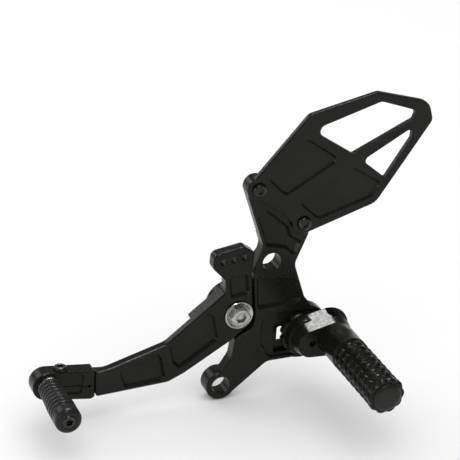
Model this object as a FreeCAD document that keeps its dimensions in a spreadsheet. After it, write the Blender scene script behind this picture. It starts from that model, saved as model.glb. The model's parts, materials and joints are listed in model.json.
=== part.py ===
import FreeCAD, Part
import math
import os
import re

import Sketcher
from FreeCAD import Vector

# Left-hand rearset: bracket plate, heel guard, adjustable foot peg and gear-shift lever.
# Millimetres. +X points to the rear of the motorcycle, +Z up and -Y outboard, to the rider's foot.
# The origin is the upper frame hole, on the face that meets the frame.
# Plate-like pieces are drawn on the XZ plane. "Height" is the distance outboard of the frame face.

SIZES = {
    # bracket plate
    "plate_back": 3.0,
    "plate_thick": 9.0,
    "plate_front": 12.0,
    "neck_back": 4.5,
    "plate_pocket_deep": 2.8,
    "relief_slope": -36.0,
    "frame_hole_radius": 7.0,
    "frame_boss_radius": 10.0,
    "lower_hole_x": -33.5,
    "lower_hole_z": -94.0,
    "lower_lug_radius": 11.0,
    "upper_lobe_x": -14.5,
    "upper_lobe_z": 58.5,
    "lower_lobe_x": 20.8,
    "lower_lobe_z": 29.2,
    "lobe_radius": 8.0,
    # lever pivot
    "pivot_x": -23.0,
    "pivot_z": -38.0,
    "lug_radius": 16.5,
    "lug_back": -10.0,
    "lug_thick": 10.5,
    "web_thick": 13.0,
    "thread_radius": 4.0,
    "journal_radius": 5.0,
    "flange_radius": 10.5,
    "flange_thick": 1.6,
    "pivot_head_flats": 13.0,
    "pivot_head_tall": 4.0,
    "pivot_socket_flats": 7.0,
    "pivot_socket_deep": 3.2,
    "pivot_nut_flats": 13.0,
    "pivot_nut_tall": 4.0,
    "pivot_spare_thread": 3.0,
    "washer_thick": 0.4,
    "washer_radius": 10.0,
    # seat of the foot peg mount
    "seat_x": 27.0,
    "seat_z": -59.5,
    "seat_lobe_radius": 21.0,
    "seat_deep": 2.0,
    "seat_floor": 10.0,
    "seat_radius": 18.2,
    "window_deep": 4.0,
    "window_floor": 6.0,
    "spigot_radius": 8.0,
    "running_gap": 0.05,
    # foot peg mount
    "disc_radius": 16.7,
    "disc_thick": 5.0,
    "disc_top": 15.0,
    "notch_radius": 2.3,
    "notch_circle": 17.4,
    "mount_face": 31.0,
    "mount_tall": 16.0,
    "mount_lobe_radius": 10.7,
    "mount_draft": -13.0,
    "shoulder_radius": 15.0,
    "shoulder_tall": 6.5,
    "shoulder_draft": -8.0,
    "tongue_root": 15.2,
    "peg_x": 44.7,
    "peg_z": -57.9,
    "peg_radius": 13.1,
    "peg_underside": 24.5,
    "tongue_root_height": 21.0,
    "lock_hole_radius": 2.5,
    "lock_hole_deep": 12.0,
    # foot peg
    "barrel_start": 53.0,
    "barrel_radius": 13.2,
    "barrel_long": 58.0,
    "collar_long": 22.0,
    "end_ring_start": 109.0,
    "end_ring_radius": 13.5,
    "end_ring_long": 5.0,
    "scallop_radius": 4.0,
    "scallop_circle": 16.7,
    "ridge_turn": 20.0,
    "flute_radius": 2.0,
    "flute_circle": 14.1,
    "cap_start": 114.0,
    "cap_radius": 10.2,
    "cap_tall": 3.0,
    "cap_round": 2.6,
    "cap_plug_radius": 6.0,
    "cap_plug_long": 8.0,
    "peg_bolt_radius": 4.0,
    "peg_bolt_base": 24.0,
    "peg_bolt_long": 50.0,
    "peg_bolt_head_radius": 6.5,
    "peg_bolt_head_tall": 4.0,
    "peg_bolt_sunk": 3.5,
    "barrel_groove_first": 1.6,
    "barrel_groove_step": 7.4,
    "barrel_groove_wide": 2.7,
    "barrel_groove_deep": 1.2,
    "clamp_bolt_radius": 4.0,
    "clamp_bolt_grip": 14.0,
    "clamp_bolt_head_tall": 4.0,
    "clamp_head_wide": 7.5,
    "clamp_bolt_socket_flats": 6.0,
    "clamp_washer_radius": 10.5,
    "clamp_washer_thick": 1.5,
    "lock_screw_long": 9.0,
    "lock_screw_flats": 2.5,
    # heel guard
    "guard_thick": 3.5,
    "guard_front": 15.5,
    "guard_lobe_radius": 8.6,
    "guard_pocket_deep": 2.0,
    "guard_screw_radius": 3.0,
    "guard_screw_long": 11.0,
    "button_radius": 5.2,
    "button_tall": 2.9,
    "button_round": 2.0,
    "button_socket_flats": 4.0,
    "button_socket_deep": 1.8,
    # shift lever
    "lever_back": 1.0,
    "lever_thick": 11.0,
    "lever_thin": 5.5,
    "lever_thin_back": 6.5,
    "lever_arm_back": 4.0,
    "lever_front": 12.0,
    "lever_pocket_deep": 2.6,
    "bush_radius": 7.5,
    "link_hole_radius": 2.5,
    "link_hole_x": -36.5,
    "link_hole_z": 4.4,
    "link_hole_step": 7.9,
    "link_hole_rise": 0.9,
    # toe block
    "toe_x": -160.2,
    "toe_z": -73.8,
    "toe_block_back": -1.0,
    "toe_block_thick": 11.0,
    "toe_block_front": 10.0,
    "toe_lap_thick": 7.4,
    "toe_pocket_deep": 1.5,
    "toe_bore_radius": 5.5,
    "slit_end_x": -131.0,
    "slit_end_z": -78.4,
    "slit_relief_radius": 1.1,
    "clamp_screw_x": -150.5,
    "clamp_screw_height": 4.5,
    "clamp_screw_top": -64.6,
    "clamp_screw_radius": 2.5,
    "clamp_screw_long": 16.0,
    "clamp_head_radius": 4.75,
    "clamp_head_tall": 2.6,
    "lap_screw_radius": 2.0,
    "lap_screw_long": 11.4,
    "lap_head_radius": 3.4,
    "lap_head_tall": 2.2,
    "lap_socket_flats": 2.5,
    "lap_screw_x": -121.5,
    "lap_screw_z": -76.0,
    "lap_screw_step_x": 6.5,
    "lap_screw_step_z": -5.0,
    # toe peg
    "stud_collar_radius": 8.0,
    "stud_collar_start": 10.3,
    "stud_collar_long": 2.7,
    "axle_radius": 4.0,
    "axle_long": 44.2,
    "sleeve_start": 13.3,
    "sleeve_radius": 9.3,
    "sleeve_long": 45.0,
    "groove_first": 16.0,
    "groove_step": 4.3,
    "groove_wide": 1.6,
    "groove_deep": 0.9,
    "sleeve_round": 3.4,
    "end_screw_radius": 5.0,
    "end_screw_tall": 4.0,
    "end_screw_socket_flats": 4.6,
    "end_screw_socket_deep": 3.0,
}

LAP_SCREW_COUNT = 2

NODES = ["base_plate", "heel_guard", "guard_screw_upper", "guard_screw_lower", "pivot_bolt",
         "pivot_nut", "thrust_washer", "pivot_bush", "shift_lever", "toe_block", "lap_screw_1",
         "lap_screw_2", "toe_clamp_screw", "toe_stud", "toe_sleeve", "toe_end_screw",
         "peg_mount", "peg_clamp_bolt", "peg_clamp_washer", "peg_lock_screw", "peg_bolt",
         "foot_peg", "peg_end_cap"]

doc = FreeCAD.newDocument("foot_peg_assembly")
sheet = doc.addObject("Spreadsheet::Sheet", "Sizes")
for row, (name, size) in enumerate(SIZES.items(), start=1):
    sheet.set(f"A{row}", name)
    sheet.set(f"B{row}", str(size))
    sheet.setAlias(f"B{row}", name)
doc.recompute()


def bind(item, prop, formula):
    """Drive a property by a formula whose words are names in the sheet."""
    item.setExpression(prop, re.sub(r"[a-z]\w+\b(?!\()", r"Sizes.\g<0>", formula))


def new_body(label, x="0", height="0", z="0"):
    body = doc.addObject("PartDesign::Body", label)
    bind(body, "Placement.Base.x", x)
    bind(body, "Placement.Base.y", f"-({height})")
    bind(body, "Placement.Base.z", z)
    return body


def new_sketch(body, label, height="0", x="0", z="0"):
    """An empty sketch facing outboard, at a height above the body's own origin."""
    sketch = body.newObject("Sketcher::SketchObject", f"{body.Name}_{label}")
    plane = next(f for f in body.Origin.OriginFeatures if f.Role == "XZ_Plane")
    sketch.AttachmentSupport = (plane, "")
    sketch.MapMode = "FlatFace"
    bind(sketch, "AttachmentOffset.Base.x", x)
    bind(sketch, "AttachmentOffset.Base.y", z)
    bind(sketch, "AttachmentOffset.Base.z", height)
    return sketch


def draw_circle(sketch, radius):
    """A circle about the sketch's origin, with its radius from the sheet."""
    circle = sketch.addGeometry(Part.Circle(Vector(0, 0, 0), Vector(0, 0, 1), 1.0))
    sketch.addConstraint(Sketcher.Constraint("Coincident", circle, 3, -1, 1))
    row = sketch.addConstraint(Sketcher.Constraint("Radius", circle, 1.0))
    bind(sketch, f"Constraints[{row}]", radius)


def draw_hexagon(sketch, flats):
    """A regular hexagon about the sketch's origin, measured across its flats."""
    reach = sheet.get(flats) / math.sqrt(3)
    tips = [Vector(reach * math.cos(math.radians(a)), reach * math.sin(math.radians(a)), 0)
            for a in range(0, 360, 60)]
    for start, end in zip(tips, tips[1:] + tips[:1]):
        sketch.addGeometry(Part.LineSegment(start, end))


def draw_outline(sketch, corners):
    """A closed outline through corners (x, z, radius), each rounded by its radius."""
    points = [Vector(x, z, 0) for x, z, radius in corners]
    leaving = []
    arriving = []
    for i, (x, z, radius) in enumerate(corners):
        back = (points[i - 1] - points[i]).normalize()
        ahead = (points[(i + 1) % len(points)] - points[i]).normalize()
        half_angle = back.getAngle(ahead) / 2
        arriving.append(points[i] + back * (radius / math.tan(half_angle)))
        leaving.append(points[i] + ahead * (radius / math.tan(half_angle)))
        if radius:
            inward = (back + ahead).normalize()
            nearest = points[i] + inward * (radius / math.sin(half_angle) - radius)
            sketch.addGeometry(Part.Arc(arriving[i], nearest, leaving[i]))
    for i in range(len(points)):
        if (arriving[i] - leaving[i - 1]).dot(points[i] - points[i - 1]) <= 0:
            raise ValueError(f"{sketch.Name}: the roundings before corner {i} overlap")
        sketch.addGeometry(Part.LineSegment(leaving[i - 1], arriving[i]))


def add_pad(body, sketch, long):
    pad = body.newObject("PartDesign::Pad", f"{sketch.Name}_pad")
    pad.Profile = sketch
    bind(pad, "Length", long)
    return pad


def add_pocket(body, sketch, deep):
    """Cut inboard from the sketch."""
    pocket = body.newObject("PartDesign::Pocket", f"{sketch.Name}_pocket")
    pocket.Profile = sketch
    bind(pocket, "Length", deep)
    return pocket


def pad_circle(body, label, radius, height, long, x="0", z="0"):
    sketch = new_sketch(body, label, height, x, z)
    draw_circle(sketch, radius)
    return add_pad(body, sketch, long)


def pocket_circle(body, label, radius, height, deep, x="0", z="0"):
    sketch = new_sketch(body, label, height, x, z)
    draw_circle(sketch, radius)
    return add_pocket(body, sketch, deep)


def pad_outline(body, label, corners, height, long):
    sketch = new_sketch(body, label, height)
    draw_outline(sketch, corners)
    return add_pad(body, sketch, long)


def pocket_outline(body, label, corners, height, deep):
    sketch = new_sketch(body, label, height)
    draw_outline(sketch, corners)
    return add_pocket(body, sketch, deep)


def pocket_relief(body, label, corners, height, deep):
    """A shallow pocket whose walls slope in towards its floor."""
    pocket = pocket_outline(body, label, corners, height, deep)
    bind(pocket, "TaperAngle", "relief_slope")


def pocket_hexagon(body, label, flats, height, deep):
    sketch = new_sketch(body, label, height)
    draw_hexagon(sketch, flats)
    return add_pocket(body, sketch, deep)


def rim_edges(feature, height):
    """The names of the edges round the largest outboard face at a height."""
    flat = [f for f in feature.Shape.Faces
            if abs(f.CenterOfMass.y + height) < 0.01 and abs(f.BoundBox.YLength) < 0.01]
    outer = max(flat, key=lambda face: face.Area).OuterWire.Edges
    return [f"Edge{i}" for i, edge in enumerate(feature.Shape.Edges, start=1)
            if any(edge.isSame(other) for other in outer)]


def dress_rim(body, feature, height, size, kind="Chamfer"):
    """Chamfer or fillet the rim of the largest face at a height."""
    doc.recompute()
    dress = body.newObject(f"PartDesign::{kind}", f"{body.Name}_{kind.lower()}")
    dress.Base = (feature, rim_edges(feature, height))
    if kind == "Chamfer":
        dress.Size = size
    else:
        dress.Radius = size
    return dress


# --- bracket plate -------------------------------------------------------------------------

PLATE_OUTLINE = [
    (-21.9, 55.5, 0), (-7.4, 13.7, 7), (-12.6, -7.6, 5), (-11.2, -30, 0), (-9.4, -49.2, 10),
    (-24.6, -57.6, 2), (-26.4, -72, 12), (-36, -87, 0), (-26, -101.6, 0), (1, -79.8, 8),
    (22, -79.6, 0), (40, -60, 0), (33.5, -39.7, 0), (26.8, -31, 9), (17.6, -4, 9),
    (26.3, 17.5, 3), (28.4, 27, 0), (16, 35.5, 0), (-10, 65, 0),
]
UPPER_POCKET = [
    (-13.0, 35.5, 3), (-6, 41, 3), (11, 26.2, 3), (14, 18.3, 3), (22.2, 13, 3),
    (16.6, 1.2, 3), (9.8, 8.8, 4), (-5.2, 12.4, 3),
]
MIDDLE_POCKET = [
    (-11.2, -8.8, 2.5), (2, -12.8, 9), (19.6, -15.6, 4), (24.6, -35, 3), (-8.9, -36.6, 2.5),
]
PIVOT_WEB = [
    (-10.2, -20, 3), (6, -24, 4), (8, -40, 6), (2, -60, 5), (-17, -58.5, 4), (-9, -46, 8),
]
NECK_RELIEF = [(-40, 22, 0), (40, 22, 0), (40, 80, 0), (-40, 80, 0)]
SEAT_RECESS = [(-4.6, -40.6, 7), (27, -41.3, 0), (27, -77.7, 0), (1.5, -77.2, 6), (-5.4, -64, 8)]
SEAT_WINDOW = [(4.6, -51.4, 1.5), (17.2, -51.4, 1), (17.2, -74.6, 1), (6.2, -74.6, 1.5)]
WINDOW_SLOT = [(9.8, -56, 2), (17.2, -56, 1), (17.2, -68, 1), (9.8, -68, 2)]


def make_plate():
    body = new_body("base_plate")
    pad_outline(body, "outline", PLATE_OUTLINE, "plate_back", "plate_thick")
    for label in ("upper", "lower"):
        pad_circle(body, f"{label}_lobe", "lobe_radius", "plate_back", "plate_thick",
                   f"{label}_lobe_x", f"{label}_lobe_z")
    pad_circle(body, "seat_lobe", "seat_lobe_radius", "plate_back", "plate_thick", "seat_x", "seat_z")
    pad_circle(body, "frame_boss", "frame_boss_radius", "0", "plate_front")
    pad_circle(body, "frame_lug", "lower_lug_radius", "0", "plate_front",
               "lower_hole_x", "lower_hole_z")
    pad_outline(body, "pivot_web", PIVOT_WEB, "lug_back", "web_thick")
    solid = pad_circle(body, "pivot_lug", "lug_radius", "lug_back", "lug_thick",
                       "pivot_x", "pivot_z")
    dress_rim(body, solid, sheet.plate_front, 0.6)
    pocket_outline(body, "neck_relief", NECK_RELIEF, "neck_back", "neck_back - plate_back")
    pocket_circle(body, "frame_hole", "frame_hole_radius", "plate_front", "plate_front")
    pocket_circle(body, "frame_hole_low", "frame_hole_radius", "plate_front", "plate_front",
                  "lower_hole_x", "lower_hole_z")
    pocket_circle(body, "pivot_thread", "thread_radius + running_gap", "plate_back",
                  "plate_back - lug_back", "pivot_x", "pivot_z")
    for label in ("upper", "lower"):
        pocket_circle(body, f"{label}_thread", "guard_screw_radius + running_gap", "plate_front",
                      "plate_thick", f"{label}_lobe_x", f"{label}_lobe_z")
    pocket_relief(body, "upper_relief", UPPER_POCKET, "plate_front", "plate_pocket_deep")
    pocket_relief(body, "middle_relief", MIDDLE_POCKET, "plate_front", "plate_pocket_deep")
    pocket_relief(body, "seat_recess", SEAT_RECESS, "plate_front", "seat_deep")
    pocket_circle(body, "seat_round", "seat_radius", "plate_front", "seat_deep", "seat_x", "seat_z")
    pocket_outline(body, "seat_window", SEAT_WINDOW, "seat_floor", "window_deep")
    pocket_outline(body, "window_slot", WINDOW_SLOT, "window_floor", "window_floor - plate_back")
    pocket_circle(body, "spigot_bore", "spigot_radius + running_gap", "seat_floor",
                  "seat_floor - plate_back", "seat_x", "seat_z")


# --- heel guard ----------------------------------------------------------------------------

GUARD_OUTLINE = [
    (-23.4, 58.5, 0), (-22.6, 61, 0), (19.6, 109.6, 7), (69.5, 121.2, 6), (109.5, 110.4, 11.5),
    (113.5, 96.2, 5), (75, 38, 12), (24, 21.4, 0), (12.2, 29.6, 0), (6, 37, 5),
    (-12.5, 50.2, 0),
]
UPPER_WINDOW = [(22.0, 98.2, 4.5), (72.5, 114.2, 6), (99.8, 104.8, 3.4), (98, 98.6, 2.5),
                (54, 77.4, 1.5)]
LOWER_WINDOW = [(61.6, 71.4, 3.2), (98, 92.4, 2.5), (98, 84.5, 2.5), (80.2, 56.4, 1)]
GUARD_UPPER_RELIEF = [(17.4, 93.5, 5), (45.2, 74.4, 4), (6, 50.8, 5), (-9.8, 66.2, 5)]
GUARD_LOWER_RELIEF = [(55, 67.6, 5), (78.7, 52.6, 4), (71.6, 42.6, 4), (31.5, 30, 6),
                      (13.8, 46.2, 5)]


def make_guard():
    body = new_body("heel_guard", height="plate_front")
    pad_outline(body, "outline", GUARD_OUTLINE, "0", "guard_thick")
    for label in ("upper", "lower"):
        solid = pad_circle(body, f"{label}_lobe", "guard_lobe_radius", "0", "guard_thick",
                           f"{label}_lobe_x", f"{label}_lobe_z")
    dress_rim(body, solid, sheet.guard_thick, 0.5)
    for label in ("upper", "lower"):
        pocket_circle(body, f"{label}_hole", "guard_screw_radius + running_gap", "guard_thick",
                      "guard_thick", f"{label}_lobe_x", f"{label}_lobe_z")
    pocket_outline(body, "upper_window", UPPER_WINDOW, "guard_thick", "guard_thick")
    pocket_outline(body, "lower_window", LOWER_WINDOW, "guard_thick", "guard_thick")
    pocket_relief(body, "upper_relief", GUARD_UPPER_RELIEF, "guard_thick", "guard_pocket_deep")
    pocket_relief(body, "lower_relief", GUARD_LOWER_RELIEF, "guard_thick", "guard_pocket_deep")


def make_button_screw(label, x, z):
    """A button-head screw with a hexagon socket, seated on the heel guard."""
    body = new_body(label, x, "guard_front", z)
    head = pad_circle(body, "head", "button_radius", "0", "button_tall")
    dress_rim(body, head, sheet.button_tall, sheet.button_round, "Fillet")
    pad_circle(body, "shank", "guard_screw_radius", "-guard_screw_long", "guard_screw_long")
    pocket_hexagon(body, "socket", "button_socket_flats", "button_tall", "button_socket_deep")


# --- lever pivot ---------------------------------------------------------------------------

def make_pivot():
    bolt = new_body("pivot_bolt", "pivot_x", "lever_front + 0.1", "pivot_z")
    pad_circle(bolt, "flange", "flange_radius", "0", "flange_thick")
    sketch = new_sketch(bolt, "head", "flange_thick")
    draw_hexagon(sketch, "pivot_head_flats")
    head = add_pad(bolt, sketch, "pivot_head_tall")
    dress_rim(bolt, head, sheet.flange_thick + sheet.pivot_head_tall, 0.7)
    pad_circle(bolt, "journal", "journal_radius", "-lever_thick - 0.6", "lever_thick + 0.6")
    pad_circle(bolt, "thread", "thread_radius",
               "-lever_front + lug_back - pivot_nut_tall - pivot_spare_thread",
               "lever_front - lug_back + pivot_nut_tall + pivot_spare_thread")
    pocket_hexagon(bolt, "socket", "pivot_socket_flats", "flange_thick + pivot_head_tall",
                   "pivot_socket_deep")

    nut = new_body("pivot_nut", "pivot_x", "lug_back - pivot_nut_tall", "pivot_z")
    sketch = new_sketch(nut, "hexagon")
    draw_hexagon(sketch, "pivot_nut_flats")
    add_pad(nut, sketch, "pivot_nut_tall")
    pocket_circle(nut, "thread", "thread_radius + running_gap", "pivot_nut_tall", "pivot_nut_tall")

    washer = new_body("thrust_washer", "pivot_x", "lug_back + lug_thick", "pivot_z")
    pad_circle(washer, "disc", "washer_radius", "0", "washer_thick")
    pocket_circle(washer, "hole", "journal_radius + running_gap", "washer_thick", "washer_thick")

    bush = new_body("pivot_bush", "pivot_x", "lever_back", "pivot_z")
    pad_circle(bush, "sleeve", "bush_radius", "0", "lever_thick")
    pocket_circle(bush, "bore", "journal_radius + running_gap", "lever_thick", "lever_thick")


# --- shift lever ---------------------------------------------------------------------------

LEVER_OUTLINE = [
    (-43.4, 10.9, 5), (-21, 14.6, 3), (-13.2, 9.2, 2), (-14.4, -8, 20), (-12.6, -28, 6),
    (-12.2, -46, 5), (-28.5, -58.9, 3), (-62, -79, 8), (-74, -84.2, 10), (-126.85, -86.8, 2),
    (-126.85, -67.5, 1.5), (-117.7, -66, 5), (-76, -53.5, 14), (-33.5, -19.5, 4),
    (-34, -10, 6), (-43.9, 0.6, 5),
]
LEVER_THINNING = [(-57, -30, 0), (-57, -38.3, 0), (-40.5, -66.1, 0), (-40.5, -95, 0),
                  (-140, -95, 0), (-140, -30, 0)]
ARM_THINNING = [(-60, 30, 0), (0, 30, 0), (0, -16, 0), (-60, -16, 0)]
ARM_RELIEF = [(-31.6, -7.6, 2.6), (-17.3, -6.7, 2.6), (-15.3, -23.1, 2.6), (-29.6, -24.7, 2.6)]
LARGE_RELIEF = [(-46.2, -32.8, 3), (-41.2, -36.2, 3), (-36.9, -55.9, 3), (-65.5, -74.8, 3),
                (-70.8, -70.3, 3), (-74.1, -56.0, 3)]
SMALL_RELIEF = [(-110.6, -70.2, 3), (-82.6, -58.7, 3), (-78.9, -64, 3), (-75.4, -82.2, 3),
                (-106, -83.6, 3)]
LINK_HOLE_COUNT = 3


def make_lever():
    body = new_body("shift_lever")
    solid = pad_outline(body, "outline", LEVER_OUTLINE, "lever_back", "lever_thick")
    dress_rim(body, solid, sheet.lever_front, 0.8)
    pocket_outline(body, "thinning", LEVER_THINNING, "lever_thin_back", "lever_thick - lever_thin")
    pocket_outline(body, "arm_thinning", ARM_THINNING, "lever_arm_back",
                   "lever_arm_back - lever_back")
    pocket_circle(body, "hub_bore", "bush_radius", "lever_front", "lever_thick",
                  "pivot_x", "pivot_z")
    for i in range(LINK_HOLE_COUNT):
        pocket_circle(body, f"link_hole_{i + 1}", "link_hole_radius", "lever_front", "lever_thick",
                      f"link_hole_x + {i} * link_hole_step", f"link_hole_z + {i} * link_hole_rise")
    pocket_relief(body, "arm_relief", ARM_RELIEF, "lever_front", "lever_pocket_deep")
    pocket_relief(body, "large_relief", LARGE_RELIEF, "lever_front", "lever_pocket_deep")
    pocket_relief(body, "small_relief", SMALL_RELIEF, "lever_front", "lever_pocket_deep")
    for i in range(LAP_SCREW_COUNT):
        pocket_circle(body, f"lap_thread_{i + 1}", "lap_screw_radius + running_gap",
                      "toe_block_back + lap_screw_long", "lap_screw_long - toe_lap_thick",
                      f"lap_screw_x + {i} * lap_screw_step_x",
                      f"lap_screw_z + {i} * lap_screw_step_z")


# --- toe block -----------------------------------------------------------------------------

TOE_OUTLINE = [(-171.3, -62.5, 10.1), (-127, -67.4, 1), (-127, -87.6, 1), (-129.6, -89.2, 2),
               (-171.3, -83.1, 10.1)]
TOE_LAP = [(-134, -69.4, 0), (-111, -72.2, 4), (-112.5, -84.6, 4), (-134, -86, 0)]
TOE_RELIEF = [(-151.4, -66.2, 2), (-134.4, -68.4, 3.4), (-136.2, -84, 3), (-151.4, -81.8, 2)]
SLIT = [(-161, -75.4, 0), (-131, -78.1, 0), (-131, -78.7, 0), (-161, -76.0, 0)]


def make_toe_block():
    body = new_body("toe_block")
    solid = pad_outline(body, "outline", TOE_OUTLINE, "toe_block_back", "toe_block_thick")
    dress_rim(body, solid, sheet.toe_block_front, 0.6)
    pad_outline(body, "lap", TOE_LAP, "toe_block_back", "toe_lap_thick")
    pocket_circle(body, "stud_bore", "toe_bore_radius + running_gap", "toe_block_front",
                  "toe_block_thick", "toe_x", "toe_z")
    pocket_relief(body, "relief", TOE_RELIEF, "toe_block_front", "toe_pocket_deep")
    pocket_outline(body, "slit", SLIT, "toe_block_front", "toe_block_thick")
    pocket_circle(body, "slit_relief", "slit_relief_radius", "toe_block_front",
                  "toe_block_thick", "slit_end_x", "slit_end_z")
    for i in range(LAP_SCREW_COUNT):
        pocket_circle(body, f"lap_hole_{i + 1}", "lap_screw_radius + running_gap",
                      "toe_block_back + toe_lap_thick", "toe_lap_thick",
                      f"lap_screw_x + {i} * lap_screw_step_x",
                      f"lap_screw_z + {i} * lap_screw_step_z")
    add_clamp_hole(body)


def add_clamp_hole(body):
    """The upright hole and spot face of the clamp screw, on the XY plane and cut downwards."""
    for label, radius, deep in (
            ("clamp_hole", "clamp_screw_radius + running_gap", "clamp_screw_long + 2.4"),
            ("spot_face", "clamp_head_radius + 4 * running_gap", "2")):
        sketch = body.newObject("Sketcher::SketchObject", f"toe_block_{label}")
        plane = next(f for f in body.Origin.OriginFeatures if f.Role == "XY_Plane")
        sketch.AttachmentSupport = (plane, "")
        sketch.MapMode = "FlatFace"
        bind(sketch, "AttachmentOffset.Base.x", "clamp_screw_x")
        bind(sketch, "AttachmentOffset.Base.y", "-clamp_screw_height")
        bind(sketch, "AttachmentOffset.Base.z", "clamp_screw_top + 2")
        draw_circle(sketch, radius)
        add_pocket(body, sketch, deep)


def make_lap_screws():
    for i in range(LAP_SCREW_COUNT):
        body = new_body(f"lap_screw_{i + 1}", f"lap_screw_x + {i} * lap_screw_step_x",
                        "toe_block_back", f"lap_screw_z + {i} * lap_screw_step_z")
        pad_circle(body, "head", "lap_head_radius", "-lap_head_tall", "lap_head_tall")
        pad_circle(body, "shank", "lap_screw_radius", "0", "lap_screw_long")
        pocket_hexagon(body, "socket", "lap_socket_flats", "-lap_head_tall / 4",
                       "lap_head_tall * 3 / 4")


def make_clamp_screw():
    """An upright button-head screw, made of primitives because it stands along Z."""
    head = doc.addObject("Part::Cylinder", "clamp_head")
    bind(head, "Radius", "clamp_head_radius")
    bind(head, "Height", "clamp_head_tall")
    shank = doc.addObject("Part::Cylinder", "clamp_shank")
    bind(shank, "Radius", "clamp_screw_radius")
    bind(shank, "Height", "clamp_screw_long + clamp_head_tall / 2")
    bind(shank, "Placement.Base.z", "-clamp_screw_long")
    socket = doc.addObject("Part::Prism", "clamp_socket")
    socket.Polygon = 6
    bind(socket, "Circumradius", "button_socket_flats / 2 * 1.1547")
    bind(socket, "Height", "clamp_head_tall")
    bind(socket, "Placement.Base.z", "clamp_head_tall - button_socket_deep")
    whole = doc.addObject("Part::Fuse", "clamp_whole")
    whole.Base = head
    whole.Tool = shank
    drilled = doc.addObject("Part::Cut", "clamp_drilled")
    drilled.Base = whole
    drilled.Tool = socket
    doc.recompute()
    screw = doc.addObject("Part::Fillet", "toe_clamp_screw")
    screw.Base = drilled
    top = sheet.clamp_head_tall
    rim = [i for i, edge in enumerate(drilled.Shape.Edges, start=1)
           if isinstance(edge.Curve, Part.Circle) and edge.BoundBox.ZMin > top - 0.01]
    screw.Edges = [(i, 1.6, 1.6) for i in rim]
    bind(screw, "Placement.Base.x", "clamp_screw_x")
    bind(screw, "Placement.Base.y", "-clamp_screw_height")
    bind(screw, "Placement.Base.z", "clamp_screw_top")


# --- toe peg -------------------------------------------------------------------------------

GROOVE_COUNT = 7


def make_toe_peg():
    stud = new_body("toe_stud", "toe_x", "0", "toe_z")
    pad_circle(stud, "shank", "toe_bore_radius", "toe_block_back", "toe_block_thick + 1")
    pad_circle(stud, "collar", "stud_collar_radius", "stud_collar_start", "stud_collar_long")
    pad_circle(stud, "axle", "axle_radius", "stud_collar_start", "axle_long")

    sleeve = new_body("toe_sleeve", "toe_x", "sleeve_start", "toe_z")
    barrel = pad_circle(sleeve, "barrel", "sleeve_radius", "0", "sleeve_long")
    dress_rim(sleeve, barrel, sheet.sleeve_long, sheet.sleeve_round, "Fillet")
    pocket_circle(sleeve, "bore", "axle_radius + running_gap", "sleeve_long", "sleeve_long")
    pocket_circle(sleeve, "seat", "end_screw_radius + 4 * running_gap", "sleeve_long",
                  "end_screw_tall")
    for i in range(GROOVE_COUNT):
        start = f"groove_first - sleeve_start + {i} * groove_step + groove_wide"
        sketch = new_sketch(sleeve, f"groove_{i + 1}", start)
        draw_circle(sketch, "sleeve_radius + 1")
        draw_circle(sketch, "sleeve_radius - groove_deep")
        add_pocket(sleeve, sketch, "groove_wide")

    screw = new_body("toe_end_screw", "toe_x", "sleeve_start + sleeve_long - end_screw_tall + 0.2",
                     "toe_z")
    head = pad_circle(screw, "head", "end_screw_radius", "0", "end_screw_tall")
    dress_rim(screw, head, sheet.end_screw_tall, 0.6)
    pocket_hexagon(screw, "socket", "end_screw_socket_flats", "end_screw_tall",
                   "end_screw_socket_deep")


# --- foot peg ------------------------------------------------------------------------------

NOTCH_COUNT = 8
RIDGE_COUNT = 10
BARREL_GROOVE_COUNT = 8


def draw_belt(sketch, first_radius, second, second_radius):
    """A belt drawn tight round a circle about the origin and a second circle."""
    spread = math.acos((first_radius - second_radius) / second.Length)
    heading = math.atan2(second.y, second.x)
    upper = Vector(math.cos(heading + spread), math.sin(heading + spread), 0)
    lower = Vector(math.cos(heading - spread), math.sin(heading - spread), 0)
    ahead = Vector(math.cos(heading), math.sin(heading), 0)
    near_top = upper * first_radius
    near_low = lower * first_radius
    far_top = second + upper * second_radius
    far_low = second + lower * second_radius
    sketch.addGeometry(Part.LineSegment(near_top, far_top))
    sketch.addGeometry(Part.Arc(far_top, second + ahead * second_radius, far_low))
    sketch.addGeometry(Part.LineSegment(far_low, near_low))
    sketch.addGeometry(Part.Arc(near_low, ahead * -first_radius, near_top))


def slope_tongue(body):
    """Slope the tongue's inboard side from the shoulder to the underside of the peg's end."""
    sketch = body.newObject("Sketcher::SketchObject", "peg_mount_slope")
    plane = next(f for f in body.Origin.OriginFeatures if f.Role == "XY_Plane")
    sketch.AttachmentSupport = (plane, "")
    sketch.MapMode = "FlatFace"
    bind(sketch, "AttachmentOffset.Base.z", "2 * peg_radius")
    far = sheet.peg_x - sheet.seat_x + 2 * sheet.peg_radius
    root = sheet.tongue_root
    tip = sheet.peg_x - sheet.seat_x
    draw_outline(sketch, [(root, -sheet.disc_top - 0.01, 0), (root, -sheet.tongue_root_height, 0),
                          (tip, -sheet.peg_underside, 0), (far, -sheet.peg_underside, 0),
                          (far, -sheet.disc_top - 0.01, 0)])
    add_pocket(body, sketch, "4 * peg_radius")


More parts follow.
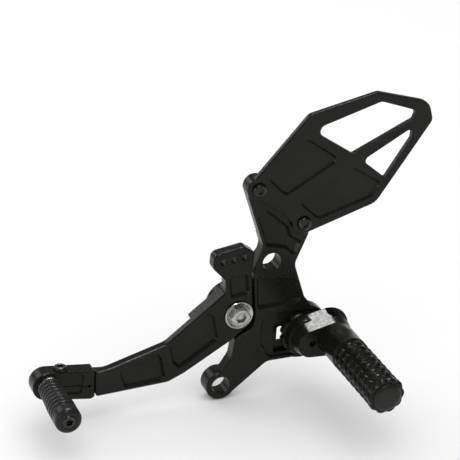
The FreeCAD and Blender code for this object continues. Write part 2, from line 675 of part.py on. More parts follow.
def make_mount():
    """Index disc and spigot in the plate, and the tongue that carries the peg off its centre."""
    body = new_body("peg_mount", "seat_x", "0", "seat_z")
    disc = pad_circle(body, "disc", "disc_radius", "seat_floor", "disc_thick")
    dress_rim(body, disc, sheet.disc_top, 0.8)
    notch = pocket_circle(body, "notch", "notch_radius", "disc_top", "disc_thick")
    bind(notch.Profile[0], "AttachmentOffset.Base.y", "notch_circle")
    pattern = body.newObject("PartDesign::PolarPattern", "peg_mount_notches")
    pattern.Originals = [notch]
    pattern.Axis = (disc.Profile[0], ["N_Axis"])
    pattern.Angle = 360
    pattern.Occurrences = NOTCH_COUNT
    body.Tip = pattern
    pad_circle(body, "spigot", "spigot_radius", "plate_back + 0.2", "seat_floor - plate_back")
    shoulder = pad_circle(body, "shoulder", "shoulder_radius", "disc_top", "shoulder_tall")
    bind(shoulder, "TaperAngle", "shoulder_draft")
    sketch = new_sketch(body, "tongue", "disc_top")
    offset = Vector(sheet.peg_x - sheet.seat_x, sheet.peg_z - sheet.seat_z, 0)
    spread = sheet.mount_tall * math.tan(math.radians(-sheet.mount_draft))
    draw_belt(sketch, sheet.mount_lobe_radius + spread, offset, sheet.peg_radius + spread)
    tongue = add_pad(body, sketch, "mount_tall")
    bind(tongue, "TaperAngle", "mount_draft")
    slope_tongue(body)
    pocket_circle(body, "lock_hole", "lock_hole_radius", "mount_face", "lock_hole_deep")
    pocket_circle(body, "bolt_hole", "peg_bolt_radius + running_gap", "mount_face",
                  "mount_face - peg_underside", "peg_x - seat_x", "peg_z - seat_z")
    pocket_circle(body, "bolt_seat", "peg_bolt_head_radius + 4 * running_gap",
                  "peg_underside + peg_bolt_sunk", "2 * peg_bolt_sunk",
                  "peg_x - seat_x", "peg_z - seat_z")
    pocket_circle(body, "clamp_thread", "clamp_bolt_radius + running_gap",
                  "plate_back + 0.2 + clamp_bolt_grip", "clamp_bolt_grip")


def make_mount_hardware():
    """The bolt that clamps the mount, its washer, the lock screw and the peg's own bolt."""
    bolt = new_body("peg_clamp_bolt", "seat_x", "plate_back", "seat_z")
    pad_circle(bolt, "head", "clamp_head_wide", "-clamp_washer_thick - clamp_bolt_head_tall",
               "clamp_bolt_head_tall")
    pad_circle(bolt, "shank", "clamp_bolt_radius", "-clamp_washer_thick",
               "clamp_washer_thick + clamp_bolt_grip - 1")
    socket = new_sketch(bolt, "socket", "-clamp_washer_thick - 1")
    draw_hexagon(socket, "clamp_bolt_socket_flats")
    add_pocket(bolt, socket, "clamp_bolt_head_tall - 1")

    washer = new_body("peg_clamp_washer", "seat_x", "plate_back - clamp_washer_thick", "seat_z")
    pad_circle(washer, "disc", "clamp_washer_radius", "0", "clamp_washer_thick")
    pocket_circle(washer, "hole", "clamp_bolt_radius + running_gap", "clamp_washer_thick",
                  "clamp_washer_thick")

    lock = new_body("peg_lock_screw", "seat_x", "mount_face - lock_hole_deep", "seat_z")
    pad_circle(lock, "thread", "lock_hole_radius - running_gap", "0", "lock_screw_long")
    pocket_hexagon(lock, "socket", "lock_screw_flats", "lock_screw_long", "lock_screw_long / 2")

    peg_bolt = new_body("peg_bolt", "peg_x", "peg_bolt_base", "peg_z")
    pad_circle(peg_bolt, "head", "peg_bolt_head_radius", "0", "peg_bolt_head_tall")
    pad_circle(peg_bolt, "shank", "peg_bolt_radius", "0", "peg_bolt_long")


def cut_flutes(body, label, ring, height, long):
    """Lengthwise grooves round the peg, one between each two rows of studs."""
    flute = pocket_circle(body, label, f"{label}_radius", height, long,
                          f"{label}_circle * cos(ridge_turn)", f"{label}_circle * sin(ridge_turn)")
    pattern = body.newObject("PartDesign::PolarPattern", f"foot_peg_{label}s")
    pattern.Originals = [flute]
    pattern.Axis = (ring.Profile[0], ["N_Axis"])
    pattern.Angle = 360
    pattern.Occurrences = RIDGE_COUNT
    body.Tip = pattern


def make_foot_peg():
    """Smooth collar, studded barrel and scalloped end ring in one piece, with a domed cap.

    Ring grooves and lengthwise flutes cross on the barrel and leave rows of studs."""
    body = new_body("foot_peg", "peg_x", "0", "peg_z")
    pad_circle(body, "collar", "peg_radius", "mount_face", "collar_long")
    pad_circle(body, "barrel", "barrel_radius", "barrel_start", "barrel_long")
    ring = pad_circle(body, "end_ring", "end_ring_radius", "end_ring_start", "end_ring_long")
    dress_rim(body, ring, sheet.cap_start, 1.2)
    cut_flutes(body, "scallop", ring, "cap_start", "end_ring_long")
    cut_flutes(body, "flute", ring, "end_ring_start",
               "end_ring_start - barrel_start - barrel_groove_first")
    for i in range(BARREL_GROOVE_COUNT):
        top = f"barrel_start + barrel_groove_first + {i} * barrel_groove_step + barrel_groove_wide"
        sketch = new_sketch(body, f"groove_{i + 1}", top)
        draw_circle(sketch, "barrel_radius + 1")
        draw_circle(sketch, "barrel_radius - barrel_groove_deep")
        add_pocket(body, sketch, "barrel_groove_wide")
    pocket_circle(body, "bolt_hole", "peg_bolt_radius + running_gap",
                  "peg_bolt_base + peg_bolt_long + 1",
                  "peg_bolt_base + peg_bolt_long + 1 - mount_face")
    pocket_circle(body, "cap_socket", "cap_plug_radius + running_gap", "cap_start",
                  "cap_plug_long + 0.5")

    cap = new_body("peg_end_cap", "peg_x", "cap_start", "peg_z")
    dome = pad_circle(cap, "dome", "cap_radius", "0", "cap_tall")
    dress_rim(cap, dome, sheet.cap_tall, sheet.cap_round, "Fillet")
    pad_circle(cap, "plug", "cap_plug_radius", "-cap_plug_long", "cap_plug_long")


def check_and_export():
    doc.recompute()
    for item in doc.Objects:
        if "Invalid" in item.State or "Error" in item.State:
            raise RuntimeError(f"{item.Label} did not build: {item.State}")
    os.makedirs("parts", exist_ok=True)
    for item in doc.Objects:
        if item.isDerivedFrom("PartDesign::Pocket"):
            if item.Shape.Volume > item.BaseFeature.Shape.Volume - 0.01:
                raise RuntimeError(f"{item.Label} cuts nothing")
    for label in NODES:
        shape = doc.getObject(label).Shape
        if shape.isNull() or not shape.isValid():
            raise RuntimeError(f"{label} is not a valid shape")
        shape.exportStep(f"parts/{label}.step")
        print(label, len(shape.Solids), round(shape.Volume))


make_plate()
make_guard()
make_button_screw("guard_screw_upper", "upper_lobe_x", "upper_lobe_z")
make_button_screw("guard_screw_lower", "lower_lobe_x", "lower_lobe_z")
make_pivot()
make_lever()
make_toe_block()
make_lap_screws()
make_clamp_screw()
make_toe_peg()
make_mount()
make_mount_hardware()
make_foot_peg()
check_and_export()
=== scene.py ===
import json
import math

import bmesh
import bpy
from mathutils import Matrix, Vector


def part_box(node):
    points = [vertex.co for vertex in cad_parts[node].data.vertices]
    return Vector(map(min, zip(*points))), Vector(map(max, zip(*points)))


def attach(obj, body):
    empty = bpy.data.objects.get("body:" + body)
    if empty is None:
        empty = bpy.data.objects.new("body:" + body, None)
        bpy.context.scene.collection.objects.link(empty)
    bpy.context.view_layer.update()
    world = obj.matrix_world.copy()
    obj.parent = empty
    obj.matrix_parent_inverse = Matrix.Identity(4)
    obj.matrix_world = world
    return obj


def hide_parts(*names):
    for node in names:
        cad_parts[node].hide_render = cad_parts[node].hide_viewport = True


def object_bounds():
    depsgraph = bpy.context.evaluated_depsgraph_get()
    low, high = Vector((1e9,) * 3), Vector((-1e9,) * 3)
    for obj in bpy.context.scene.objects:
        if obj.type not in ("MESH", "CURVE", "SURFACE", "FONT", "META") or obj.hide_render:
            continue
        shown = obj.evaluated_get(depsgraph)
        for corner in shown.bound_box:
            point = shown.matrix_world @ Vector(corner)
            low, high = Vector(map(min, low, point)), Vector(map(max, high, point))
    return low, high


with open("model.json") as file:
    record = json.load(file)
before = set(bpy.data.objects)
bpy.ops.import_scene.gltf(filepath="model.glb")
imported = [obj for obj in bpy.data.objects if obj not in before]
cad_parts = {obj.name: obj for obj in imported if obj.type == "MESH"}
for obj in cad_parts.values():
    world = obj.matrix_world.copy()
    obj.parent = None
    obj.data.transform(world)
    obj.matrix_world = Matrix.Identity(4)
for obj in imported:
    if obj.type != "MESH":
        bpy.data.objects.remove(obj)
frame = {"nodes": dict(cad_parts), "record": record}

# Looks of a left-hand rearset. Metres; -Y is outboard, towards the rider's foot.
# "Height" is the distance outboard of the frame face, so a point's y is minus its height.

MM = 0.001
cad_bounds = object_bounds()


# --- materials ----------------------------------------------------------------------------

class Surface:
    """A Principled material whose detail is built up layer by layer."""

    def __init__(self, name, metallic, ior=1.45):
        self.material = bpy.data.materials.new(name)
        self.material.use_nodes = True
        self.tree = self.material.node_tree
        self.shader = self.tree.nodes["Principled BSDF"]
        self.shader.inputs["Metallic"].default_value = metallic
        self.shader.inputs["IOR"].default_value = ior
        self.place = self.add("ShaderNodeTexCoord").outputs["Object"]
        self.normal = None

    def add(self, kind, **settings):
        node = self.tree.nodes.new(kind)
        for key, value in settings.items():
            setattr(node, key, value)
        return node

    def link(self, start, end):
        self.tree.links.new(start, end)

    def noise(self, size, detail=2.0, stretch=(1, 1, 1)):
        """A noise value whose blobs are about size metres across."""
        mapping = self.add("ShaderNodeMapping")
        mapping.inputs["Scale"].default_value = stretch
        self.link(self.place, mapping.inputs["Vector"])
        node = self.add("ShaderNodeTexNoise")
        node.inputs["Scale"].default_value = 1 / size
        node.inputs["Detail"].default_value = detail
        self.link(mapping.outputs["Vector"], node.inputs["Vector"])
        return node.outputs["Fac"]

    def ramp(self, value, low, high, from_low=0.35, from_high=0.65):
        node = self.add("ShaderNodeMapRange")
        node.inputs["From Min"].default_value = from_low
        node.inputs["From Max"].default_value = from_high
        node.inputs["To Min"].default_value = low
        node.inputs["To Max"].default_value = high
        self.link(value, node.inputs["Value"])
        return node.outputs["Result"]

    def blend(self, value, first, second):
        """A colour between two colours, each a tuple or another node's output."""
        node = self.add("ShaderNodeMix", data_type="RGBA")
        self.link(value, node.inputs["Factor"])
        for socket, colour in ((node.inputs[6], first), (node.inputs[7], second)):
            if isinstance(colour, tuple):
                socket.default_value = (*colour, 1)
            else:
                self.link(colour, socket)
        return node.outputs[2]

    def mix_value(self, value, first, second):
        node = self.add("ShaderNodeMix", data_type="FLOAT")
        self.link(value, node.inputs["Factor"])
        for socket, amount in ((node.inputs[2], first), (node.inputs[3], second)):
            if isinstance(amount, (int, float)):
                socket.default_value = amount
            else:
                self.link(amount, socket)
        return node.outputs[0]

    def edges(self, radius, gain):
        """Rounds the edges' shading and returns a mask of them, broken up by noise."""
        bevel = self.add("ShaderNodeBevel", samples=6)
        bevel.inputs["Radius"].default_value = radius
        self.normal = bevel.outputs["Normal"]
        dot = self.add("ShaderNodeVectorMath", operation="DOT_PRODUCT")
        self.link(self.normal, dot.inputs[0])
        self.link(self.add("ShaderNodeNewGeometry").outputs["Normal"], dot.inputs[1])
        mask = self.ramp(dot.outputs["Value"], gain, 0.0, 0.80, 0.985)
        patchy = self.ramp(self.noise(0.008, 3.0), 0.45, 1.0)
        product = self.add("ShaderNodeMath", operation="MULTIPLY", use_clamp=True)
        self.link(mask, product.inputs[0])
        self.link(patchy, product.inputs[1])
        return product.outputs["Value"]

    def bump(self, height, depth):
        """Adds one layer of relief, depth metres from its low to its high."""
        node = self.add("ShaderNodeBump")
        node.inputs["Strength"].default_value = 1.0
        node.inputs["Distance"].default_value = depth
        self.link(height, node.inputs["Height"])
        if self.normal is not None:
            self.link(self.normal, node.inputs["Normal"])
        self.normal = node.outputs["Normal"]

    def finish(self, colour, roughness):
        self.link(colour, self.shader.inputs["Base Color"])
        self.link(roughness, self.shader.inputs["Roughness"])
        self.link(self.normal, self.shader.inputs["Normal"])
        return self.material


def anodised(name, dark, light, worn, roughness):
    """Dyed, bead-blasted aluminium: fine grain, faint tool marks and slightly paler edges."""
    surface = Surface(name, metallic=0.0, ior=1.27)
    edge = surface.edges(0.45 * MM, 0.5)
    cloud = surface.ramp(surface.noise(0.030, 3.0), 0.0, 1.0)
    colour = surface.blend(edge, surface.blend(cloud, dark, light), worn)
    speckle = surface.ramp(surface.noise(0.0022, 5.0), roughness - 0.05, roughness + 0.06)
    surface.bump(surface.noise(0.00035, 1.0), 0.0011 * MM)
    surface.bump(surface.noise(0.0016, 1.0, (0.12, 1, 1)), 0.0011 * MM)
    return surface.finish(colour, surface.mix_value(edge, speckle, roughness - 0.1))


def polished_steel(name, dark, light, roughness):
    """Turned and polished steel with fine streaks, a few dull patches and bright edges."""
    surface = Surface(name, metallic=1.0)
    edge = surface.edges(0.25 * MM, 0.8)
    cloud = surface.ramp(surface.noise(0.006, 4.0), 0.0, 1.0)
    colour = surface.blend(edge, surface.blend(cloud, dark, light), (0.95, 0.95, 0.93))
    streak = surface.noise(0.0009, 3.0, (1, 0.1, 1))
    surface.bump(streak, 0.006 * MM)
    return surface.finish(colour, surface.ramp(streak, roughness - 0.06, roughness + 0.09))


def black_steel(name):
    """Black-oxide screws, a little brown in the body and bright where a key has rubbed."""
    surface = Surface(name, metallic=1.0)
    edge = surface.edges(0.30 * MM, 0.9)
    cloud = surface.ramp(surface.noise(0.003, 4.0), 0.0, 1.0)
    body = surface.blend(cloud, (0.030, 0.030, 0.029), (0.056, 0.054, 0.051))
    colour = surface.blend(edge, body, (0.26, 0.25, 0.24))
    surface.bump(surface.noise(0.0004, 2.0), 0.004 * MM)
    return surface.finish(colour, surface.ramp(surface.noise(0.0015, 3.0), 0.24, 0.40))


def bronze(name):
    """Bearing bronze, yellowish where it is rubbed and darker in patches."""
    surface = Surface(name, metallic=1.0)
    edge = surface.edges(0.20 * MM, 0.7)
    cloud = surface.ramp(surface.noise(0.002, 4.0), 0.0, 1.0)
    body = surface.blend(cloud, (0.36, 0.22, 0.09), (0.55, 0.36, 0.16))
    colour = surface.blend(edge, body, (0.72, 0.52, 0.28))
    surface.bump(surface.noise(0.0005, 2.0), 0.010 * MM)
    return surface.finish(colour, surface.ramp(surface.noise(0.001, 3.0), 0.30, 0.48))


MATERIALS = {
    "black_anodised": anodised("black_anodised", (0.0056, 0.0060, 0.0044),
                               (0.0086, 0.0091, 0.0070), (0.030, 0.030, 0.028), 0.26),
    "grey_anodised": anodised("grey_anodised", (0.010, 0.0105, 0.0095),
                              (0.017, 0.0175, 0.016), (0.050, 0.050, 0.048), 0.30),
    "bright_steel": polished_steel("bright_steel", (0.34, 0.34, 0.33), (0.50, 0.50, 0.49), 0.22),
    "dark_steel": black_steel("dark_steel"),
    "bronze": bronze("bronze"),
}


def dress_frame():
    """Gives every carried-over node the material of its slot in the record."""
    for entry in frame["record"]["subparts"]:
        slots = frame["nodes"][entry["node"]].data.materials
        slots.clear()
        slots.append(MATERIALS[entry["material_slot"]])


# --- turned pieces ------------------------------------------------------------------------

def smooth_step(value):
    value = min(max(value, 0.0), 1.0)
    return value * value * (3 - 2 * value)


def plateau(distance, half_width, slope):
    """1 within half_width of a centre, falling smoothly to 0 over the slope."""
    return 1 - smooth_step((abs(distance) - half_width) / slope + 0.5)


def turned(name, node, slot, axis, rings, segments, closed=False):
    """A piece turned about an outboard axis. rings is [(height, radius or function of angle)]."""
    centre_x, centre_z = axis
    outboard = Matrix(((1, 0, 0, centre_x), (0, 0, -1, 0), (0, 1, 0, centre_z), (0, 0, 0, 1)))
    return turned_along(outboard, name, node, slot, rings, segments, closed)


def turned_along(frame_of_axis, name, node, slot, rings, segments, closed=False):
    """A piece turned about the Z axis of a frame, each ring given by its height and radius."""
    mesh = bmesh.new()
    rows = []
    for height, radius in rings:
        row = []
        for step in range(segments):
            angle = 2 * math.pi * step / segments
            r = radius(angle) if callable(radius) else radius
            point = Vector((r * math.cos(angle), r * math.sin(angle), height))
            row.append(mesh.verts.new(frame_of_axis @ point))
        rows.append(row)
    pairs = list(zip(rows, rows[1:])) + ([(rows[-1], rows[0])] if closed else [])
    for low, high in pairs:
        for step in range(segments):
            after = (step + 1) % segments
            mesh.faces.new((low[step], low[after], high[after], high[step]))
    if not closed:
        for row, height in ((rows[0], rings[0][0]), (rows[-1], rings[-1][0])):
            middle = mesh.verts.new(frame_of_axis @ Vector((0, 0, height)))
            for step in range(segments):
                mesh.faces.new((row[step], row[(step + 1) % segments], middle))
    bmesh.ops.recalc_face_normals(mesh, faces=mesh.faces)
    data = bpy.data.meshes.new(name)
    mesh.to_mesh(data)
    mesh.free()
    data.materials.append(MATERIALS[slot])
    data.shade_smooth()
    data.set_sharp_from_angle(angle=math.radians(35))
    piece = bpy.data.objects.new(name, data)
    bpy.context.scene.collection.objects.link(piece)
    body = next(b for b, nodes in frame["record"]["behaviour"]["bodies"].items() if node in nodes)
    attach(piece, body)
    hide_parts(node)
    return piece


def axis_of(node):
    low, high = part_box(node)
    return (low.x + high.x) / 2, (low.z + high.z) / 2


def heights_of(node):
    low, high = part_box(node)
    return -high.y, -low.y


def hexagon(flats):
    """The radius of a hexagon measured across its flats, by angle."""
    return lambda angle: flats / 2 / math.cos(angle % (math.pi / 3) - math.pi / 6)


def capped(shape, limit):
    """A shape by angle, cut off at a largest radius."""
    return lambda angle: min(shape(angle), limit)


def socket_rings(top, flats, deep):
    """A hexagon socket's rings, from its chamfered mouth down to its drilled floor."""
    return [(top, flats * 0.66), (top - 0.25 * MM, capped(hexagon(flats), flats * 0.60)),
            (top - 0.45 * MM, hexagon(flats)), (top - deep, hexagon(flats)),
            (top - deep, flats * 0.40), (top - deep - 0.5 * MM, flats * 0.12)]


def hexagon_head_rings(base, top, flats):
    """A hexagon's rings, with its corners cut away by a cone at the top."""
    rings = [(base, hexagon(flats))]
    flat_top = flats * 0.475
    for step in range(9):
        depth = (1.0 - step / 8) * 0.95 * MM
        rings.append((top - depth, capped(hexagon(flats), flat_top + depth * math.sqrt(3))))
    return rings


def thread_rings(start, end, crest, root, pitch, steps=10):
    """A right-hand screw thread between two heights."""
    rings = []
    count = round((end - start) / pitch * steps)
    for step in range(count + 1):
        height = start + (end - start) * step / count
        fade = min(1.0, (height - start) / pitch, (end - height) / pitch)

        def radius(angle, height=height, fade=fade):
            turn = (height / pitch - angle / (2 * math.pi)) % 1.0
            rise = min(1.0, abs(2 * turn - 1) * 1.25)
            return root + (crest - root) * rise * max(fade, 0.0)
        rings.append((height, radius))
    return rings


def knurled(outside, teeth, deep):
    """A circle by angle, with fine upright teeth pressed into it."""
    return lambda angle: outside - deep * (0.5 - 0.5 * math.cos(teeth * angle)) ** 2


PIVOT_FLATS = 13 * MM


def make_pivot_bolt():
    """Flanged hexagon bolt with a socket in its head, and a thread that shows behind the nut."""
    start, end = heights_of("pivot_bolt")
    flange = end - 5.6 * MM
    flange_radius = 10.5 * MM
    flange_top = flange + 1.6 * MM
    dish_floor = flange + 0.9 * MM
    journal = flange - 11.6 * MM
    journal_radius = 5 * MM
    crest = 4.0 * MM
    root = 3.4 * MM
    pitch = 1.25 * MM
    rings = [(start, 3.0 * MM), (start + 0.4 * MM, 3.35 * MM)]
    rings += thread_rings(start + 0.45 * MM, start + 9 * MM, crest, root, pitch)
    rings += [(journal, crest), (journal, journal_radius), (flange, journal_radius),
              (flange, flange_radius - 0.3 * MM), (flange + 0.25 * MM, flange_radius),
              (flange + 1.2 * MM, flange_radius), (flange_top, flange_radius - 0.4 * MM),
              (flange_top, 9.3 * MM), (dish_floor, 8.3 * MM)]
    rings += hexagon_head_rings(dish_floor, end, PIVOT_FLATS)
    rings += socket_rings(end, 7 * MM, 3.2 * MM)
    turned("pivot_bolt_flanged", "pivot_bolt", "bright_steel", axis_of("pivot_bolt"), rings, 144)


def make_pivot_nut():
    """A hexagon nut with its corners cut away at both ends, open round the bolt's thread."""
    start, end = heights_of("pivot_nut")
    low_cone = [(start + end - height, shape)
                for height, shape in reversed(hexagon_head_rings(end, end, PIVOT_FLATS)[1:])]
    bore = 4.05 * MM
    rings = [(start, bore)] + low_cone
    rings += hexagon_head_rings(start + 1 * MM, end, PIVOT_FLATS)[1:]
    rings.append((end, bore))
    turned("pivot_nut_chamfered", "pivot_nut", "bright_steel", axis_of("pivot_nut"), rings, 144,
           closed=True)


def dome_rings(base, top, outside, crown):
    """A button head's rings: a short upright rim, then a dome up to a small flat crown."""
    rings = [(base, outside - 0.2 * MM), (base + 0.15 * MM, outside)]
    rim = base + 0.5 * MM
    for step in range(9):
        angle = math.radians(90 * step / 8)
        rings.append((rim + (top - rim) * math.sin(angle),
                      crown + (outside - crown) * math.cos(angle)))
    return rings


def make_guard_screws():
    """Button-head screws with a hexagon socket, one at each end of the guard's foot."""
    for node in ("guard_screw_upper", "guard_screw_lower"):
        start, end = heights_of(node)
        shank = 3 * MM
        under_head = end - 2.9 * MM
        rings = [(start, shank - 0.7 * MM), (start + 0.6 * MM, shank), (under_head, shank)]
        rings += dome_rings(under_head, end, 5.2 * MM, 3.0 * MM)
        rings += socket_rings(end, 4 * MM, 1.8 * MM)
        turned(f"{node}_domed", node, "dark_steel", axis_of(node), rings, 96)


def make_toe_clamp_screw():
    """The upright button-head screw that closes the toe block's split."""
    low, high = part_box("toe_clamp_screw")
    upright = Matrix.Translation(((low.x + high.x) / 2, (low.y + high.y) / 2, 0))
    shank = 2.5 * MM
    under_head = high.z - 2.6 * MM
    rings = [(low.z, shank - 0.6 * MM), (low.z + 0.6 * MM, shank), (under_head, shank)]
    rings += dome_rings(under_head, high.z, 4.75 * MM, 3.0 * MM)
    rings += socket_rings(high.z, 4 * MM, 1.8 * MM)
    turned_along(upright, "toe_clamp_screw_domed", "toe_clamp_screw", "dark_steel", rings, 96)


def make_cap_screw(node, outside, shank, head_tall, socket, teeth):
    """A screw with a knurled head at its inboard end."""
    start, end = heights_of(node)
    top = -start
    base = top - head_tall
    side = knurled(outside, teeth, 0.14 * MM)
    rings = [(-end, shank - 0.5 * MM), (-end + 0.5 * MM, shank), (base, shank),
             (base, outside - 0.2 * MM), (base + 0.2 * MM, side),
             (top - 0.5 * MM, side), (top, outside - 0.55 * MM)]
    rings += socket_rings(top, socket, head_tall * 0.62)
    centre_x, centre_z = axis_of(node)
    inboard = Matrix(((-1, 0, 0, centre_x), (0, 0, 1, 0), (0, 1, 0, centre_z), (0, 0, 0, 1)))
    turned_along(inboard, f"{node}_knurled", node, "dark_steel", rings, teeth * 6)


RIDGES = 10
STUD_ROWS = 7
STUD_PITCH = 7.4 * MM


def make_foot_peg():
    """Smooth collar, rows of rounded studs and a scalloped end ring."""
    axis = axis_of("peg_end_cap")
    start, end = heights_of("foot_peg")
    collar = 13.1 * MM
    core = 11.7 * MM
    stud_tall = 1.45 * MM
    stud_reach = 2.9 * MM
    scallop_floor = 12.4 * MM
    scallop_deep = 1.05 * MM
    first_row = start + 28.3 * MM
    ring_low = end - 4.9 * MM
    turn = math.radians(2)

    def ridge(angle):
        """How far an angle is from its nearest ridge, in turns of one ridge."""
        return (angle - turn) * RIDGES / (2 * math.pi) % 1.0

    def stud_radius(height):
        """The studs' radius by angle: domed lengthwise, and flat-topped round the peg."""
        row = round((height - first_row) / STUD_PITCH)
        row = min(max(row, 0), STUD_ROWS - 1)
        distance = height - first_row - row * STUD_PITCH
        dome = math.sqrt(max(0.0, 1 - (distance / stud_reach) ** 2))

        def radius(angle):
            across = min(ridge(angle), 1 - ridge(angle))
            around = 1 - smooth_step((across - 0.20) / 0.20)
            return core + stud_tall * dome * (0.14 + 0.86 * around)
        return radius

    def ring_radius(height):
        """The end ring's radius by angle, drawn in towards its outboard edge."""
        inset = max(0.0, height - (end - 1.2 * MM)) * 0.9

        def radius(angle):
            wave = 0.5 + 0.5 * math.cos(2 * math.pi * ridge(angle))
            return scallop_floor + scallop_deep * wave ** 0.6 - inset
        return radius

    rings = [(start, collar - 0.5 * MM), (start + 0.15 * MM, collar - 0.15 * MM),
             (start + 0.5 * MM, collar), (start + 12 * MM, collar),
             (first_row - 4.9 * MM, collar), (first_row - 4.7 * MM, collar + 0.1 * MM),
             (first_row - 4.1 * MM, collar + 0.1 * MM), (first_row - 3.8 * MM, collar - 0.2 * MM)]
    fine = 0.22 * MM
    height = first_row - 3.3 * MM
    while height < ring_low - 0.5 * MM:
        rings.append((height, stud_radius(height)))
        height += fine
    for offset in (0.0, 0.2, 0.6, 1.6, 2.6, 3.5, 3.9, 4.3, 4.7, 4.9):
        lift = ring_low + offset * MM
        rings.append((lift, ring_radius(lift)))
    rings.append((end, 10.9 * MM))
    turned("foot_peg_studded", "foot_peg", "black_anodised", axis, rings, 280)


def make_end_cap():
    """A plug under a shallow dome with a generous rounding."""
    start, end = heights_of("peg_end_cap")
    face = end - 3 * MM
    outside = 10.15 * MM
    crown = 5.6 * MM
    rings = [(start, 5.6 * MM), (start + 0.4 * MM, 6 * MM), (face, 6 * MM),
             (face, outside - 0.1 * MM), (face + 0.1 * MM, outside)]
    for step in range(13):
        angle = math.radians(90 * step / 12)
        rings.append((face + 0.5 * MM + 2.1 * MM * math.sin(angle),
                      crown + (outside - crown) * math.cos(angle)))
    rings += [(end - 0.2 * MM, crown * 0.75), (end - 0.05 * MM, crown * 0.4), (end, crown * 0.1)]
    turned("peg_end_cap_domed", "peg_end_cap", "grey_anodised", axis_of("peg_end_cap"), rings, 96)


def make_toe_sleeve():
    """Rounded rings on the toe peg's sleeve, then a plain end with a rounded lip."""
    axis = axis_of("toe_stud")
    start, end = heights_of("toe_sleeve")
    outside = 9.3 * MM
    bore = 4.05 * MM
    seat = 5.08 * MM
    groove_first = start + 3.5 * MM
    groove_step = 4.3 * MM
    groove_count = 8
    lip = 3.4 * MM
    swell = 1.1 * MM
    swell_long = 30 * MM

    def barrel(height):
        """The sleeve swells from its root to its full size part of the way along."""
        return outside - swell * (1 - smooth_step((height - start) / swell_long))

    def radius(height):
        row = min(max(round((height - groove_first) / groove_step), 0), groove_count - 1)
        distance = height - groove_first - row * groove_step
        cut = plateau(distance, 0.42 * MM, 1.9 * MM)
        return barrel(height) - 1.0 * MM * cut
    rings = [(start, bore), (start, barrel(start) - 0.3 * MM),
             (start + 0.25 * MM, barrel(start) - 0.05 * MM)]
    height = start + 0.6 * MM
    while height < end - lip:
        rings.append((height, radius(height)))
        height += 0.2 * MM
    for step in range(1, 10):
        angle = math.radians(10 * step)
        rings.append((end - lip + lip * math.sin(angle), outside - lip * (1 - math.cos(angle))))
    rings += [(end, seat + 0.1 * MM), (end - 0.1 * MM, seat), (end - 4 * MM, seat),
              (end - 4 * MM, bore)]
    turned("toe_sleeve_ringed", "toe_sleeve", "grey_anodised", axis, rings, 144, closed=True)


# --- studio -------------------------------------------------------------------------------

CAMERA_PLACE = Vector((-0.4689, -1.0367, 0.5687))
CAMERA_TARGET = Vector((-0.0254, 0.0062, 0.0197))
CAMERA_RIGHT = Vector((0.962, -0.273, 0.0))
CAMERA_LENS = 142
ROOM_GLOW = 0.9
HORIZON_GLOW = 0.4
CEILING_GLOW = 0.12
HORIZON_TOP = 0.04
CEILING_START = 0.30


def make_camera():
    """A long lens, looking down from the part's front left."""
    data = bpy.data.cameras.new("camera")
    data.lens = CAMERA_LENS
    camera = bpy.data.objects.new("camera", data)
    bpy.context.scene.collection.objects.link(camera)
    forward = (CAMERA_TARGET - CAMERA_PLACE).normalized()
    right = (CAMERA_RIGHT - forward * CAMERA_RIGHT.dot(forward)).normalized()
    turn = Matrix((right, right.cross(forward), -forward)).transposed()
    camera.matrix_world = Matrix.Translation(CAMERA_PLACE) @ turn.to_4x4()
    bpy.context.scene.camera = camera


def make_floor():
    """A plain pale floor just under the part."""
    mesh = bmesh.new()
    bmesh.ops.create_grid(mesh, x_segments=4, y_segments=4, size=4.0)
    data = bpy.data.meshes.new("floor")
    mesh.to_mesh(data)
    mesh.free()
    material = bpy.data.materials.new("floor")
    material.use_nodes = True
    shader = material.node_tree.nodes["Principled BSDF"]
    shader.inputs["Base Color"].default_value = (0.86, 0.86, 0.86, 1)
    shader.inputs["Roughness"].default_value = 0.9
    shader.inputs["Specular IOR Level"].default_value = 0.1
    data.materials.append(material)
    floor = bpy.data.objects.new("floor", data)
    bpy.context.scene.collection.objects.link(floor)
    floor.location.z = cad_bounds[0][2] - 0.5 * MM


def add_light(name, place, width, tall, power, fills=True, glints=True):
    """A lamp aimed at the part, which may be kept out of soft light or out of reflections."""
    data = bpy.data.lights.new(name, "AREA")
    data.shape = "RECTANGLE"
    data.size = width
    data.size_y = tall
    data.energy = power
    lamp = bpy.data.objects.new(name, data)
    bpy.context.scene.collection.objects.link(lamp)
    lamp.location = place
    lamp.rotation_euler = (-lamp.location).to_track_quat("-Z", "Y").to_euler()
    lamp.visible_diffuse = fills
    lamp.visible_glossy = glints


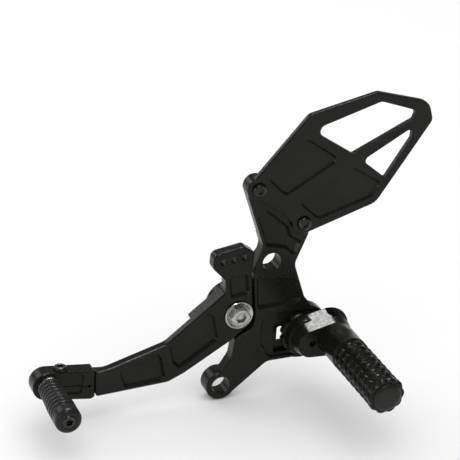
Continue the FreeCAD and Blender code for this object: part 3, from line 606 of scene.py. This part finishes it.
def make_world():
    """Soft white light all round; reflections see a white horizon under a dark studio ceiling."""
    world = bpy.data.worlds.new("studio")
    bpy.context.scene.world = world
    world.use_nodes = True
    nodes = world.node_tree.nodes
    link = world.node_tree.links.new
    split = nodes.new("ShaderNodeSeparateXYZ")
    link(nodes.new("ShaderNodeTexCoord").outputs["Generated"], split.inputs["Vector"])
    ceiling = nodes.new("ShaderNodeMapRange")
    ceiling.interpolation_type = "SMOOTHSTEP"
    ceiling.inputs["From Min"].default_value = HORIZON_TOP
    ceiling.inputs["From Max"].default_value = CEILING_START
    ceiling.inputs["To Min"].default_value = HORIZON_GLOW
    ceiling.inputs["To Max"].default_value = CEILING_GLOW
    link(split.outputs["Z"], ceiling.inputs["Value"])
    seen = nodes.new("ShaderNodeMix")
    seen.data_type = "FLOAT"
    seen.inputs[2].default_value = ROOM_GLOW
    link(nodes.new("ShaderNodeLightPath").outputs["Is Glossy Ray"], seen.inputs["Factor"])
    link(ceiling.outputs["Result"], seen.inputs[3])
    nodes["Background"].inputs["Color"].default_value = (1, 1, 1, 1)
    link(seen.outputs[0], nodes["Background"].inputs["Strength"])


def light_studio():
    """A large fill overhead, one lamp behind for the edges and three that only make glints."""
    make_world()
    add_light("fill", (0.0, -0.3, 2.6), 3.0, 3.0, 26, glints=False)
    add_light("rim", (-0.83, 1.45, 0.67), 0.9, 0.5, 3.5)
    add_light("key", (0.16, 0.72, 1.37), 0.5, 0.5, 30, fills=False)
    add_light("front", (-0.20, -0.95, 1.26), 0.4, 0.25, 7, fills=False)
    add_light("left", (-1.50, -0.35, 0.50), 0.4, 0.7, 4, fills=False)
    bpy.context.scene.view_settings.view_transform = "Standard"
    bpy.context.scene.view_settings.look = "None"


dress_frame()
make_foot_peg()
make_end_cap()
make_toe_sleeve()
make_pivot_bolt()
make_pivot_nut()
make_guard_screws()
make_toe_clamp_screw()
make_cap_screw("lap_screw_1", 3.4 * MM, 2.0 * MM, 2.2 * MM, 2.5 * MM, 24)
make_cap_screw("lap_screw_2", 3.4 * MM, 2.0 * MM, 2.2 * MM, 2.5 * MM, 24)
make_cap_screw("peg_clamp_bolt", 7.5 * MM, 4.0 * MM, 4.0 * MM, 6.0 * MM, 40)
make_camera()
make_floor()
light_studio()
